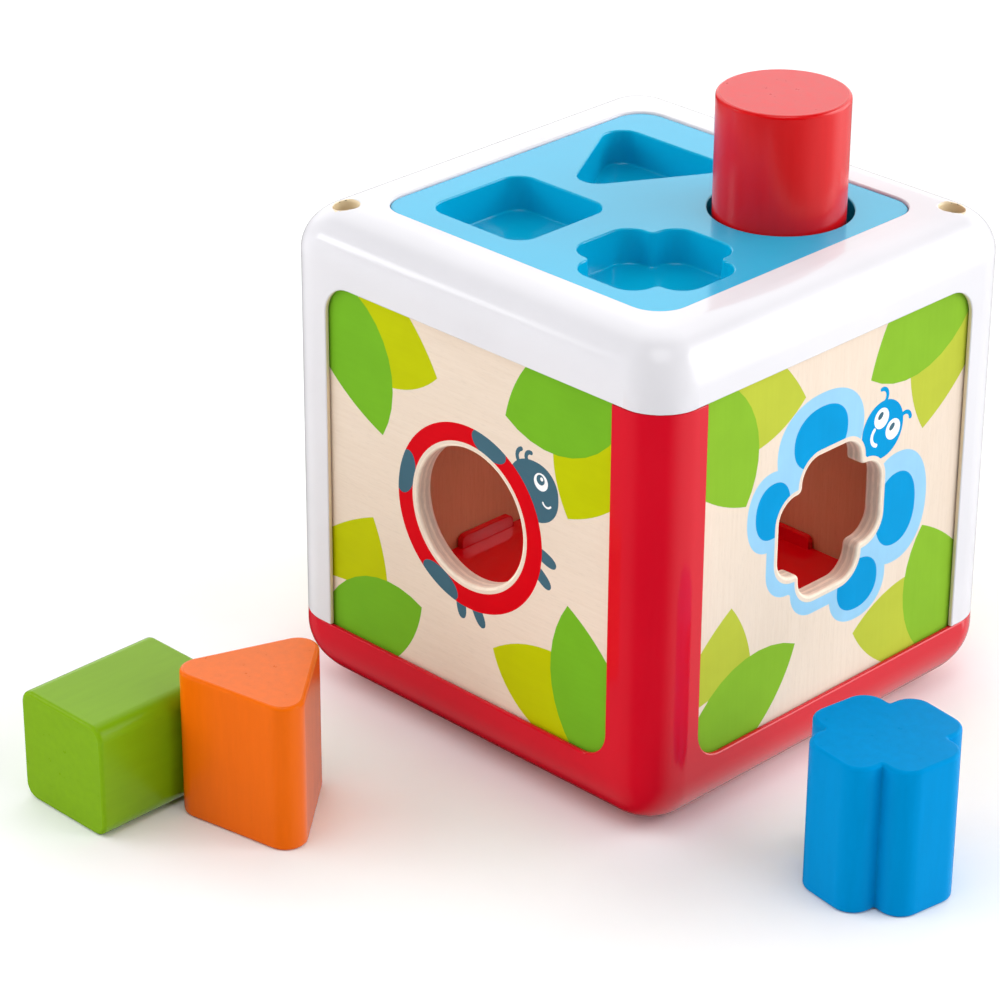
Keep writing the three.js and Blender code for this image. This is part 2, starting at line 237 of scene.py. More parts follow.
def circle_outline(radius, centre=(0, 0), steps=CIRCLE_STEPS):
    angles = (2 * math.pi * step / steps for step in range(steps))
    return [Vector(centre) + radius * Vector((math.cos(a), math.sin(a))) for a in angles]


def triangle_outline(side, radius):
    """An equilateral triangle that points down the page."""
    reach = side / math.sqrt(3)
    corners = [(reach * math.cos(math.radians(a)), reach * math.sin(math.radians(a)), radius)
               for a in (-90, 30, 150)]
    return rounded_outline(corners)


def cross_outline(reach, arm_half, corner, notch):
    quarter = [(reach, -arm_half, corner), (reach, arm_half, corner), (arm_half, arm_half, notch)]
    corners = []
    for turn in range(4):
        turned = Matrix.Rotation(math.pi / 2 * turn, 2)
        corners += [(*(turned @ Vector((x, y))), radius) for x, y, radius in quarter]
    return rounded_outline(corners)


# Each hole or block outline, set in by a distance all round, or out where it is negative.
HOLES = {
    "circle": lambda inset: circle_outline(CIRCLE_RADIUS - inset),
    "square": lambda inset: square_outline(SQUARE_SIDE / 2 - inset, SQUARE_CORNER - inset),
    "triangle": lambda inset: triangle_outline(TRIANGLE_SIDE - 2 * math.sqrt(3) * inset,
                                               TRIANGLE_CORNER - inset),
    "cross": lambda inset: cross_outline(CROSS_REACH - inset, CROSS_ARM_HALF - inset,
                                         CROSS_CORNER - inset, max(CROSS_NOTCH + inset, LEAST_NOTCH)),
}
BLOCKS = {
    "circle": lambda inset: circle_outline(ROUND_BLOCK_RADIUS - inset),
    "square": lambda inset: square_outline(SQUARE_BLOCK_SIDE / 2 - inset,
                                           SQUARE_BLOCK_CORNER - inset),
    "triangle": lambda inset: triangle_outline(TRIANGLE_BLOCK_SIDE - 2 * math.sqrt(3) * inset,
                                               TRIANGLE_CORNER - inset),
    "cross": lambda inset: cross_outline(CROSS_BLOCK_REACH - inset, CROSS_BLOCK_ARM_HALF - inset,
                                         CROSS_BLOCK_CORNER - inset, CROSS_BLOCK_NOTCH + inset),
}


# ================= meshes =================

def quarter_round(start, end, along_height, steps=EDGE_STEPS):
    """(inset, height) pairs on a quarter round from start to end. It sets off along the height, or
    else along the inset."""
    pairs = []
    for step in range(steps + 1):
        angle = math.pi / 2 * step / steps
        early, late = math.sin(angle), 1 - math.cos(angle)
        inset_share, height_share = (late, early) if along_height else (early, late)
        pairs.append((start[0] + (end[0] - start[0]) * inset_share,
                      start[1] + (end[1] - start[1]) * height_share))
    return pairs


def flare(edge, level):
    """A cutter's last (inset, height) pairs, which leave a rounded edge on the surface at a level."""
    reached = level + CUT_PAST
    return [*quarter_round((0, reached - edge), (-edge, reached), True), (-edge, level + OVERLAP)]


def mesh_from(points, faces):
    mesh = bpy.data.meshes.new("piece")
    mesh.from_pydata([tuple(p) for p in points], [], faces)
    mesh.update()
    return mesh


def stacked(outline_at, profile):
    """A closed skin over the outlines at each (inset, height) of a profile that goes upwards."""
    rings = [[(p.x, p.y, height) for p in outline_at(inset)] for inset, height in profile]
    count = len(rings[0])
    faces = [tuple(reversed(range(count)))]
    for ring in range(1, len(rings)):
        low, high = (ring - 1) * count, ring * count
        for point in range(count):
            following = (point + 1) % count
            faces.append((low + point, low + following, high + following, high + point))
    faces.append(tuple(range((len(rings) - 1) * count, len(rings) * count)))
    return mesh_from([point for ring in rings for point in ring], faces)


def prism(outline, low, high):
    return stacked(lambda inset: outline, [(0, low), (0, high)])


def block_box(x_span, y_span, z_span):
    return prism(box_outline(*x_span, *y_span), *z_span)


def upright(radius, x, y, low, high, steps=BORE_STEPS):
    return prism(circle_outline(radius, (x, y), steps), low, high)


def moved(mesh, matrix):
    mesh.transform(matrix)
    return mesh


def on_wall(mesh):
    """Stands a mesh drawn flat, its height outwards, up on the -Y side."""
    return moved(mesh, Matrix.Rotation(math.pi / 2, 4, "X"))


def turned(mesh, turn):
    return moved(mesh, Matrix.Rotation(math.pi / 2 * turn, 4, "Z"))


def carved(start, steps):
    """The start mesh after each (operation, mesh) step, DIFFERENCE or UNION."""
    collection = bpy.context.scene.collection
    body = bpy.data.objects.new("body", start)
    collection.objects.link(body)
    tools = []
    for operation, tool_mesh in steps:
        tool = bpy.data.objects.new("tool", tool_mesh)
        collection.objects.link(tool)
        tools.append(tool)
        modifier = body.modifiers.new("step", "BOOLEAN")
        modifier.operation = operation
        modifier.solver = "MANIFOLD"
        modifier.object = tool
    evaluated = body.evaluated_get(bpy.context.evaluated_depsgraph_get())
    result = bpy.data.meshes.new_from_object(evaluated)
    result.materials.clear()
    for helper in (body, *tools):
        bpy.data.objects.remove(helper)
    return result


def soften(mesh, edge=MOULD_EDGE):
    """The mesh with its sharp edges rounded a little."""
    holder = bpy.data.objects.new("holder", mesh)
    bpy.context.scene.collection.objects.link(holder)
    modifier = holder.modifiers.new("edges", "BEVEL")
    modifier.limit_method = "ANGLE"
    modifier.angle_limit = SHARP_ANGLE
    modifier.width = edge
    modifier.segments = 2
    modifier.use_clamp_overlap = False
    evaluated = holder.evaluated_get(bpy.context.evaluated_depsgraph_get())
    result = bpy.data.meshes.new_from_object(evaluated)
    bpy.data.objects.remove(holder)
    return result


def add_piece(name, mesh, body, node, materials, place=Matrix.Identity(4)):
    """Makes a piece of a millimetre mesh, smooth over its round stretches, in place of a node."""
    mesh.transform(Matrix.Scale(MM, 4))
    for material in materials:
        mesh.materials.append(material)
    mesh.shade_smooth()
    mesh.set_sharp_from_angle(angle=SMOOTH_ANGLE)
    piece = bpy.data.objects.new(name, mesh)
    bpy.context.scene.collection.objects.link(piece)
    piece.matrix_world = Matrix.Translation(place.translation * MM) @ place.to_3x3().to_4x4()
    normals = piece.modifiers.new("normals", "WEIGHTED_NORMAL")
    normals.weight = 80
    normals.keep_sharp = True
    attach(piece, body)
    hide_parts(node)


# ================= materials =================

class Look:
    """A material under construction, with short ways to add the nodes that the looks below use."""

    def __init__(self, name, **constants):
        self.material = bpy.data.materials.new(name)
        self.material.use_nodes = True
        self.tree = self.material.node_tree
        self.surface = self.tree.nodes["Principled BSDF"]
        for socket, value in constants.items():
            self.surface.inputs[socket.replace("_", " ")].default_value = value

    def node(self, kind, inputs=None, **settings):
        made = self.tree.nodes.new(kind)
        for setting, value in settings.items():
            setattr(made, setting, value)
        for socket, value in (inputs or {}).items():
            if isinstance(value, bpy.types.NodeSocket):
                self.tree.links.new(value, made.inputs[socket])
            else:
                made.inputs[socket].default_value = value
        return made

    def coordinates(self, stretch=(1, 1, 1)):
        """The piece's own coordinates in metres, stretched."""
        source = self.node("ShaderNodeTexCoord").outputs["Object"]
        return self.node("ShaderNodeMapping", {"Vector": source, "Scale": stretch}).outputs["Vector"]

    def noise(self, scale, detail=2.0, stretch=(1, 1, 1), roughness=0.5):
        inputs = {"Vector": self.coordinates(stretch), "Scale": scale, "Detail": detail,
                  "Roughness": roughness}
        return self.node("ShaderNodeTexNoise", inputs).outputs["Fac"]

    def spread(self, value, low, high, start=0.3, end=0.7):
        inputs = {"Value": value, "From Min": start, "From Max": end, "To Min": low, "To Max": high}
        return self.node("ShaderNodeMapRange", inputs).outputs["Result"]

    def mixed(self, share, first, second):
        """A mix of two colours. Sockets 6 and 7 are the colour inputs, and 2 is the colour result."""
        inputs = {"Factor": share, 6: first, 7: second}
        return self.node("ShaderNodeMix", inputs, data_type="RGBA").outputs[2]

    def add_bump(self, height, distance_mm, below=None):
        inputs = {"Height": height, "Distance": distance_mm * MM, "Strength": 1.0}
        if below is not None:
            inputs["Normal"] = below
        return self.node("ShaderNodeBump", inputs).outputs["Normal"]

    def drive(self, socket, source):
        self.tree.links.new(source, self.surface.inputs[socket])


def shade(colour, factor):
    return (*(min(1.0, channel * factor) for channel in colour), 1.0)


def plastic(name, colour, roughness=0.10):
    """Gloss moulded plastic: nearly even, with a faint flow pattern and a fine skin."""
    look = Look(name)
    flow = look.noise(22, detail=3)
    look.drive("Base Color",
               look.mixed(look.spread(flow, 0, 1), shade(colour, 0.965), shade(colour, 1.03)))
    skin = look.noise(700, detail=2)
    look.drive("Roughness", look.spread(flow, roughness - 0.01, roughness + 0.02))
    ripple = look.add_bump(look.noise(90, detail=1), 0.005)
    look.drive("Normal", look.add_bump(skin, 0.0003, ripple))
    return look.material


def grain_stretch(along, fine):
    """Noise stretches that draw grain along an axis: slow along it and `fine` times faster across."""
    return tuple(1.0 if axis == along else fine for axis in "xyz")


def sawn_wood(name, colour, along, roughness=0.5, depth=1.0):
    """Sanded veneer: broad figure, fine grain lines, and short dark pores along the grain."""
    look = Look(name)
    figure = look.noise(16, detail=3, stretch=grain_stretch(along, 3.5))
    lines = look.noise(60, detail=4, stretch=grain_stretch(along, 22), roughness=0.65)
    pores = look.noise(420, detail=1, stretch=grain_stretch(along, 8))
    tone = look.mixed(look.spread(figure, 0, 1),
                      shade(colour, 1 - 0.03 * depth), shade(colour, 1 + 0.03 * depth))
    lined = look.mixed(look.spread(lines, 0, 0.35 * depth), tone,
                       shade([c * t for c, t in zip(colour, (0.88, 0.83, 0.78))], 1.0))
    dark = look.spread(pores, 0.14 * depth, 0, 0.26, 0.42)
    look.drive("Base Color", look.mixed(dark, lined, shade(colour, 0.62)))
    look.drive("Roughness", look.spread(lines, roughness - 0.05, roughness + 0.06))
    look.drive("Normal", look.add_bump(lines, 0.012))
    return look.material


def ply_edge(name, colour):
    """The cut edge of five plies, seen through their thickness: light face plies, darker between."""
    look = Look(name)
    source = look.node("ShaderNodeTexCoord").outputs["Object"]
    depth = look.node("ShaderNodeSeparateXYZ", {"Vector": source}).outputs["Y"]
    share = look.spread(depth, 0, 1, -PANEL_FRONT * MM, -PANEL_BACK * MM)
    wander = look.spread(look.noise(260, detail=2), -0.03, 0.03)
    layer = look.node("ShaderNodeMath", {0: share, 1: wander}, operation="ADD").outputs["Value"]
    bands = look.node("ShaderNodeValToRGB", {"Fac": layer})
    tones = ((0.0, 1.0), (0.22, 1.0), (0.26, 0.80), (0.40, 0.84), (0.45, 1.0), (0.56, 0.97),
             (0.60, 0.76), (0.77, 0.80), (0.82, 0.97))
    elements = bands.color_ramp.elements
    while len(elements) < len(tones):
        elements.new(0.5)
    for element, (position, tone) in zip(elements, tones):
        element.position = position
        element.color = shade(colour, tone)
    fibre = look.noise(420, detail=3, stretch=(1, 4, 1), roughness=0.6)
    look.drive("Base Color",
               look.mixed(look.spread(fibre, 0, 0.35), bands.outputs["Color"], shade(colour, 0.5)))
    look.drive("Roughness", look.spread(fibre, 0.55, 0.7))
    look.drive("Normal", look.add_bump(fibre, 0.03))
    return look.material


def ink(name, colour, along, tint, roughness=0.4):
    """Screen-printed ink on veneer, with the grain just showing through."""
    look = Look(name, Specular_Tint=shade(tint, 1.0), IOR=1.12)
    lines = look.noise(38, detail=4, stretch=grain_stretch(along, 26), roughness=0.65)
    cloud = look.noise(120, detail=2)
    tone = look.mixed(look.spread(cloud, 0, 1), shade(colour, 0.97), shade(colour, 1.03))
    look.drive("Base Color", look.mixed(look.spread(lines, 0, 0.16), tone, shade(colour, 0.82)))
    look.drive("Roughness", look.spread(lines, roughness - 0.03, roughness + 0.05))
    look.drive("Normal", look.add_bump(lines, 0.008))
    return look.material


def long_grain_paint(name, colour, roughness=0.22, **constants):
    """Satin paint over beech along the grain: soft streaks and fine dashes."""
    look = Look(name, **constants)
    streaks = look.noise(60, detail=4, stretch=grain_stretch("z", 9), roughness=0.6)
    dashes = look.noise(300, detail=1, stretch=grain_stretch("z", 5))
    tone = look.mixed(look.spread(streaks, 0, 1), shade(colour, 0.97), shade(colour, 1.02))
    dark = look.spread(dashes, 0.05, 0, 0.26, 0.4)
    look.drive("Base Color", look.mixed(dark, tone, shade(colour, 0.7)))
    look.drive("Roughness", look.spread(streaks, roughness - 0.01, roughness + 0.03))
    look.drive("Normal", look.add_bump(streaks, 0.006))
    return look.material


def end_grain_paint(name, colour, roughness=0.3, **constants):
    """Satin paint over beech's end grain: a fine mottle of small pores."""
    look = Look(name, **constants)
    mottle = look.noise(420, detail=4, roughness=0.7)
    rings = look.noise(60, detail=3, stretch=(1, 5, 1))
    tone = look.mixed(look.spread(mottle, 0, 1), shade(colour, 0.94), shade(colour, 1.06))
    look.drive("Base Color", look.mixed(look.spread(rings, 0, 0.25), tone, shade(colour, 0.9)))
    look.drive("Roughness", look.spread(mottle, roughness - 0.03, roughness + 0.05))
    look.drive("Normal", look.add_bump(mottle, 0.012))
    return look.material


def steel(name):
    look = Look(name, Metallic=1.0)
    scratch = look.noise(900, detail=3, stretch=(1, 1, 0.2))
    look.drive("Base Color",
               look.mixed(look.spread(scratch, 0, 1), (0.5, 0.51, 0.53, 1), (0.68, 0.69, 0.7, 1)))
    look.drive("Roughness", look.spread(scratch, 0.25, 0.42))
    look.drive("Normal", look.add_bump(scratch, 0.004))
    return look.material


RED = (0.62, 0.002, 0.015)
WHITE = (0.71, 0.70, 0.735)
# Painted bounce light and shade: a warm cream laid on the white rim's recesses.
PAINTED_BOUNCE_CREAM = (0.80, 0.66, 0.44)
TRAY_BLUE = (0.001, 0.405, 0.65)
BIRCH = (0.765, 0.64, 0.525)
# Painted shade and bounce light: the panels' inner faces are darker and warmer than the front veneer, for
# the light inside the box.
INSIDE_BIRCH_PAINTED_SHADE = (0.60, 0.48, 0.27)
PLY = (0.92, 0.79, 0.64)
INKS = {
    "leaf": (0.158, 0.41, 0.016),
    # Painted light and sheen: a lighter copy of leaf, for the brighter lit cross panel.
    "spring": (0.225, 0.44, 0.025),
    "lime": (0.46, 0.50, 0.001),
    # Painted light and sheen: a lighter, bluer copy of lime, for the brighter lit cross panel.
    "pear": (0.45, 0.50, 0.045),
    "scarlet": (0.60, 0.001, 0.006),
    "slate": (0.052, 0.125, 0.170),
    "sky": (0.29, 0.56, 0.78),
    "azure": (0.0, 0.28, 0.60),
    "white": (0.86, 0.86, 0.86),
}
PLAIN = (1.0, 1.0, 1.0)
INK_SHEENS = {"azure": (0.0, 0.7, 1.0), "scarlet": (1.0, 0.3, 0.5), "lime": (1.0, 1.0, 0.3)}
PAINT_SHEENS = {"cross": (0.0, 0.75, 1.0), "triangle": (1.0, 0.9, 0.5)}
PAINT_IORS = {"circle": 1.5, "square": 1.25, "triangle": 1.4, "cross": 1.12}
PAINTS = {
    "circle": (0.63, 0.001, 0.003),
    "square": (0.195, 0.375, 0.004),
    "triangle": (0.82, 0.135, 0.001),
    "cross": (0.0, 0.252, 0.59),
}


# ================= the box's pieces =================

def box_skin(low, high, round_low, round_high):
    """The box's outer skin between two heights, with a rounded lower or upper edge."""
    shrink = (CORNER_RADIUS - END_CORNER_RADIUS) / max(round_low, round_high)
    profile = []
    if round_low:
        profile += quarter_round((round_low, low), (0, low + round_low), False, SKIN_STEPS)
    else:
        profile.append((0, low))
    if round_high:
        profile += quarter_round((0, high - round_high), (round_high, high), True, SKIN_STEPS)
    else:
        profile.append((0, high))
    return stacked(lambda inset: square_outline(HALF - inset, CORNER_RADIUS - shrink * inset,
                                                CORNER_STEPS), profile)


def crossed_boxes(a, b, z_span):
    return [("DIFFERENCE", block_box((-a, a), (-b, b), z_span)),
            ("DIFFERENCE", block_box((-b, b), (-a, a), z_span))]


def corner_box(corner, near, far, z_span):
    spans = [(near, far) if sign > 0 else (-far, -near) for sign in corner]
    return block_box(*spans, z_span)


def each_side(make_mesh, operation="DIFFERENCE"):
    """A step for each side in turn. The maker is told +1 where the red post is on the right of the
    side, seen from outside, and -1 where it is on the left."""
    return [(operation, turned(make_mesh(1 if turn % 2 == 0 else -1), turn)) for turn in range(4)]


POST_CORNERS = ((1, -1), (-1, 1))
LEG_CORNERS = ((-1, -1), (1, 1))


def window_cutter(pillar_side, low, high, corner_at_top):
    """The window of one side, with a softened outer edge. It stops at the piece's own pillar with a
    rounded corner, and runs off the piece at the other side."""
    def outline_at(inset):
        near_x = pillar_side * (WINDOW_HALF - inset)
        far_x = -pillar_side * OUTSIDE
        rounded_z, square_z = (high - inset, low) if corner_at_top else (low + inset, high)
        outline = rounded_outline([(near_x, rounded_z, WINDOW_CORNER - inset), (near_x, square_z, 0),
                                   (far_x, square_z, 0), (far_x, rounded_z, 0)])
        clockwise = (pillar_side > 0) == corner_at_top
        return outline if not clockwise else outline[::-1]
    return on_wall(stacked(outline_at, [(0, GROOVE_MIDDLE), *flare(WINDOW_EDGE, HALF)]))


def panel_groove(low, high):
    return block_box((-GROOVE_HALF, GROOVE_HALF), (-GROOVE_OUT, -GROOVE_IN), (low, high))


def panel_tab():
    rooted = FLOOR_TOP - OVERLAP
    outline = rounded_outline([(-TAB_HALF, rooted, 0), (TAB_HALF, rooted, 0),
                               (TAB_HALF, TAB_TOP, TAB_CORNER), (-TAB_HALF, TAB_TOP, TAB_CORNER)])
    return on_wall(prism(outline, BACK_LIP, GROOVE_MIDDLE))


def base_tray():
    post_top = WINDOW_HIGH - SEAM
    steps = crossed_boxes(PILLAR_IN, GROOVE_MIDDLE, (FLOOR_TOP, HEIGHT))
    for corner in LEG_CORNERS:
        x, y = (sign * SCREW_PLACE for sign in corner)
        leg_space = corner_box(corner, PILLAR_IN - OVERLAP, OUTSIDE, (WINDOW_LOW, HEIGHT))
        steps.append(("DIFFERENCE", leg_space))
        steps.append(("DIFFERENCE", upright(SHANK_RADIUS + GAP, x, y, SCREW_TIP - GAP, HEIGHT)))
    steps += each_side(lambda side: window_cutter(side, WINDOW_LOW, HEIGHT, False))
    steps += each_side(lambda side: panel_tab(), "UNION")
    steps += each_side(lambda side: panel_groove(PANEL_LOW - GAP, HEIGHT))
    for corner in (*POST_CORNERS, *LEG_CORNERS):
        steps.append(("DIFFERENCE", corner_box(corner, RIB_HALF, RECESS_HALF, (-OVERLAP, FLOOR_UNDER))))
    steps.append(("UNION", upright(HUB_RADIUS, 0, 0, GAP, FLOOR_UNDER + OVERLAP)))
    for corner in POST_CORNERS:
        tenon = corner_box(corner, SCREW_PLACE - TENON_HALF, SCREW_PLACE + TENON_HALF,
                           (post_top - OVERLAP, post_top + TENON_HEIGHT))
        steps.append(("UNION", tenon))
    return carved(box_skin(0, post_top, BASE_ROUNDING, 0), steps)


def top_frame():
    steps = crossed_boxes(PILLAR_IN, GROOVE_MIDDLE, (0, WINDOW_HIGH))
    steps += crossed_boxes(PILLAR_IN, BACK_LIP, (0, LEDGE_UNDER))
    steps += each_side(lambda side: window_cutter(-side, 0, WINDOW_HIGH, True))
    steps += each_side(lambda side: panel_groove(0, PANEL_HIGH + GAP))
    for corner in POST_CORNERS:
        post_space = corner_box(corner, PILLAR_IN - OVERLAP, OUTSIDE, (0, WINDOW_HIGH))
        steps.append(("DIFFERENCE", post_space))
        pocket = corner_box(corner, SCREW_PLACE - TENON_HALF - GAP, SCREW_PLACE + TENON_HALF + GAP,
                            (WINDOW_HIGH - OVERLAP, WINDOW_HIGH + TENON_HEIGHT))
        steps.append(("DIFFERENCE", pocket))
    for corner in LEG_CORNERS:
        x, y = (sign * SCREW_PLACE for sign in corner)
        well = stacked(lambda inset: circle_outline(WELL_RADIUS - inset, (x, y), BORE_STEPS),
                       [(0, SCREW_SEAT), *flare(WELL_MOUTH, HEIGHT)])
        steps.append(("DIFFERENCE", well))
        steps.append(("DIFFERENCE", upright(SHANK_RADIUS + GAP, x, y, 0, SCREW_SEAT + OVERLAP)))
    ledge = square_outline(LEDGE_HALF, SEAT_CORNER)
    steps.append(("DIFFERENCE", prism(ledge, LEDGE_UNDER - OVERLAP, HEIGHT)))
    seat = [(0, LEDGE_TOP), *flare(SEAT_EDGE, HEIGHT)]
    steps.append(("DIFFERENCE",
                  stacked(lambda inset: square_outline(SEAT_HALF - inset, SEAT_CORNER - inset), seat)))
    return carved(box_skin(WINDOW_LOW + SEAM, HEIGHT, 0, RIM_ROUNDING), steps)


def mark_painted_recess_light(mesh):
    """Gives the rim's screw wells and window returns material 1, a cream that paints in the warm bounced
    light and shade of these recesses.
    """
    reach = WELL_RADIUS + WELL_MOUTH / 2
    for face in mesh.polygons:
        x, y = abs(face.center.x), abs(face.center.y)
        across, along = max(x, y), min(x, y)
        over_leg = face.center.x * face.center.y > 0
        in_well = over_leg and math.hypot(x - SCREW_PLACE, y - SCREW_PLACE) < reach
        in_return = PANEL_FRONT - 1 < across < HALF - WINDOW_EDGE / 2 and along < WINDOW_HALF + GAP
        if in_well or in_return and face.center.z < WINDOW_HIGH + GAP:
            face.material_index = 1
    return mesh


def sorting_tray():
    plate_low = TRAY_TOP - PLATE_THICKNESS
    plate = [*quarter_round((GAP, plate_low), (0, plate_low + GAP), False),
             *quarter_round((0, TRAY_TOP - TRAY_EDGE), (TRAY_EDGE, TRAY_TOP), True)]
    low = WELL_FLOOR - CUP_WALL
    cup = [*quarter_round((CUP_FOOT, low), (0, low + CUP_FOOT), False), (0, TRAY_TOP - OVERLAP)]
    foot = quarter_round((WELL_DRAFT + WELL_FOOT, WELL_FLOOR), (WELL_DRAFT, WELL_FLOOR + WELL_FOOT),
                         False)
    steps = []
    for shape, (x, y) in WELL_PLACES.items():
        mesh = stacked(lambda inset: HOLES[shape](inset - CUP_WALL), cup)
        steps.append(("UNION", moved(mesh, Matrix.Translation((x, y, 0)))))
    for shape, (x, y) in WELL_PLACES.items():
        mesh = stacked(HOLES[shape], [*foot, *flare(WELL_EDGE, TRAY_TOP)])
        steps.append(("DIFFERENCE", moved(mesh, Matrix.Translation((x, y, 0)))))
    skin = stacked(lambda inset: square_outline(TRAY_HALF - inset, TRAY_CORNER - inset, CORNER_STEPS),
                   plate)
    return carved(skin, steps)


def leg_screw():
    """A pan-head screw, as it stands on the centre line."""
    under = SCREW_SEAT + SEAM
    top = under + HEAD_HEIGHT
    rim = under + HEAD_HEIGHT * 0.4
    profile = [(SHANK_RADIUS * 0.8, SCREW_TIP), (0, SCREW_TIP + POINT_LENGTH), (0, under)]
    shank = stacked(lambda inset: circle_outline(SHANK_RADIUS - inset, steps=BORE_STEPS), profile)
    dome = [(HEAD_EDGE, under), (0, under + HEAD_EDGE),
            *quarter_round((0, rim), (HEAD_RADIUS * 0.75, top), True)]
    head = stacked(lambda inset: circle_outline(HEAD_RADIUS - inset, steps=BORE_STEPS), dome)
    steps = [("UNION", head)]
    for reach, width in ((SLOT_REACH, SLOT_HALF), (SLOT_HALF, SLOT_REACH)):
        steps.append(("DIFFERENCE", block_box((-reach, reach), (-width, width), (rim, HEIGHT))))
    return carved(shank, steps)


# ================= panels and their prints =================

def closed_edges(outline):
    return [(outline[i - 1], outline[i]) for i in range(len(outline))]


def inside(point, edges):
    """True if a point lies inside a closed loop of edges."""
    found = False
    for corner, other in edges:
        if (corner.y > point.y) != (other.y > point.y):
            crossing = corner.x + (point.y - corner.y) * (other.x - corner.x) / (other.y - corner.y)
            found ^= point.x < crossing
    return found


def arc_through(start, middle, end, steps=ARC_STEPS):
    """Points on the circle through three points, from the first to the last."""
    a, b, c = Vector(start), Vector(middle), Vector(end)
    doubled = 2 * (b - a).cross(c - a)
    to_b, to_c = (b - a).length_squared, (c - a).length_squared
    centre = a + Vector(((c - a).y * to_b - (b - a).y * to_c,
                         (b - a).x * to_c - (c - a).x * to_b)) / doubled
    spoke = a - centre
    turn = -spoke.angle_signed(c - centre)
    if (turn > 0) != (doubled > 0):
        turn += math.copysign(2 * math.pi, doubled)
    return [centre + Matrix.Rotation(turn * step / steps, 2) @ spoke for step in range(steps + 1)]


def anticlockwise(outline):
    area = sum(outline[i - 1].cross(outline[i]) for i in range(len(outline)))
    return outline if area > 0 else outline[::-1]


def to_microns(points):
    """The points rounded to a thousandth, so that every sheet that shares one finds it again."""
    return [Vector(point.to_tuple(3)) for point in points]


def split_sheet(outlines):
    """Triangles over the first outline, cut along every other one. Each comes as its three points
    and the set of the outlines that it lies in."""
    points, faces = [], []
    for outline in outlines:
        faces.append(list(range(len(points), len(points) + len(outline))))
        points += outline
    made = delaunay_2d_cdt(points, [], faces, 1, WELD_DISTANCE)
    corners = to_microns(made[0])
    return [([corners[i] for i in face], set(owners)) for face, owners in zip(made[2], made[5])]


def strip_between(loop_edges, ring):
    """Triangles between a loop, given as its edges, and a ring inside it."""
    points = [point for edge in loop_edges for point in edge]
    edges = [(2 * i, 2 * i + 1) for i in range(len(loop_edges))]
    first = len(points)
    edges += [(first + i, first + (i + 1) % len(ring)) for i in range(len(ring))]
    made = delaunay_2d_cdt(points + ring, edges, [], 0, WELD_DISTANCE)
    return [[made[0][i] for i in face] for face in made[2]]


PANEL_SHEET = box_outline(-PANEL_HALF, PANEL_HALF, PANEL_LOW, PANEL_HIGH)
PRINT_MARGIN = 1.6


def panel(shape, art):
    """A panel as it stands on the -Y side, its prints laid into its face. Art is a list of patches
    (material number, outlines), in the order they were printed; a patch covers what lies in all of
    its outlines. The material numbers are 0 veneer, 1 cut edge, 2 inner face, 3 on inks."""
    place = Vector((HOLE_ACROSS[shape], HOLE_HEIGHT))

    def hole_at(inset):
        return to_microns([point + place for point in HOLES[shape](inset)])

    clear = hole_at(-PRINT_MARGIN)
    outlines = [PANEL_SHEET, clear]
    patches = []
    for number, parts in art:
        patches.append((number, set(range(len(outlines), len(outlines) + len(parts)))))
        outlines += [anticlockwise(part) for part in parts]

    points, faces, numbers, known = [], [], [], {}

    def vertex(x, depth, z):
        key = (round(x, 3), round(depth, 3), round(z, 3))
        if key not in known:
            known[key] = len(points)
            points.append((x, -depth, z))
        return known[key]

    def add_face(corners, number):
        corners = [vertex(*corner) for corner in corners]
        if len(set(corners)) == len(corners):
            faces.append(corners)
            numbers.append(number)

    loop = {}
    for corners, owners in split_sheet(outlines):
        if 1 in owners:
            for start, end in zip(corners, corners[1:] + corners[:1]):
                key = frozenset((start.to_tuple(3), end.to_tuple(3)))
                loop[key] = None if key in loop else (start, end)
            continue
        number = 0
        for candidate, parts in patches:
            if parts <= owners:
                number = candidate
        add_face([(p.x, PANEL_FRONT, p.y) for p in corners], number)

    mouth = hole_at(-HOLE_EDGE)
    mouth_edges = closed_edges(mouth)
    loop_edges = [edge for edge in loop.values() if edge]
    for corners in strip_between(loop_edges, mouth):
        middle = sum(corners, Vector((0, 0))) / 3
        if inside(middle, loop_edges) and not inside(middle, mouth_edges):
            add_face([(p.x, PANEL_FRONT, p.y) for p in corners], 0)

    for corners, owners in split_sheet([PANEL_SHEET, anticlockwise(mouth)]):
        if 1 not in owners:
            add_face([(p.x, PANEL_BACK, p.y) for p in reversed(corners)], 2)

    profile = [*quarter_round((-HOLE_EDGE, PANEL_FRONT), (0, PANEL_FRONT - HOLE_EDGE), False),
               *quarter_round((0, PANEL_BACK + HOLE_EDGE), (-HOLE_EDGE, PANEL_BACK), True)]
    rings = [[(p.x, depth, p.y) for p in hole_at(inset)] for inset, depth in profile]
    for upper, lower in zip(rings, rings[1:]):
        for i in range(len(upper)):
            add_face([upper[i - 1], upper[i], lower[i], lower[i - 1]], 1)
    for (x0, z0), (x1, z1) in closed_edges(PANEL_SHEET):
        add_face([(x1, PANEL_FRONT, z1), (x0, PANEL_FRONT, z0),
                  (x0, PANEL_BACK, z0), (x1, PANEL_BACK, z1)], 1)
    mesh = mesh_from(points, faces)
    mesh.polygons.foreach_set("material_index", numbers)
    return mesh


UNIT = 65.0        # prints are placed in half-widths of the box


def spot(x, z):
    return Vector((x * UNIT, z * UNIT))


def leaf(start, bend_in, tip, bend_out, end, root):
    """A leaf's outline: an arc up to its tip, an arc back, and a root out of sight."""
    first = arc_through(spot(*start), spot(*bend_in), spot(*tip))
    second = arc_through(spot(*tip), spot(*bend_out), spot(*end))
    return first + second[1:] + [spot(*root)]


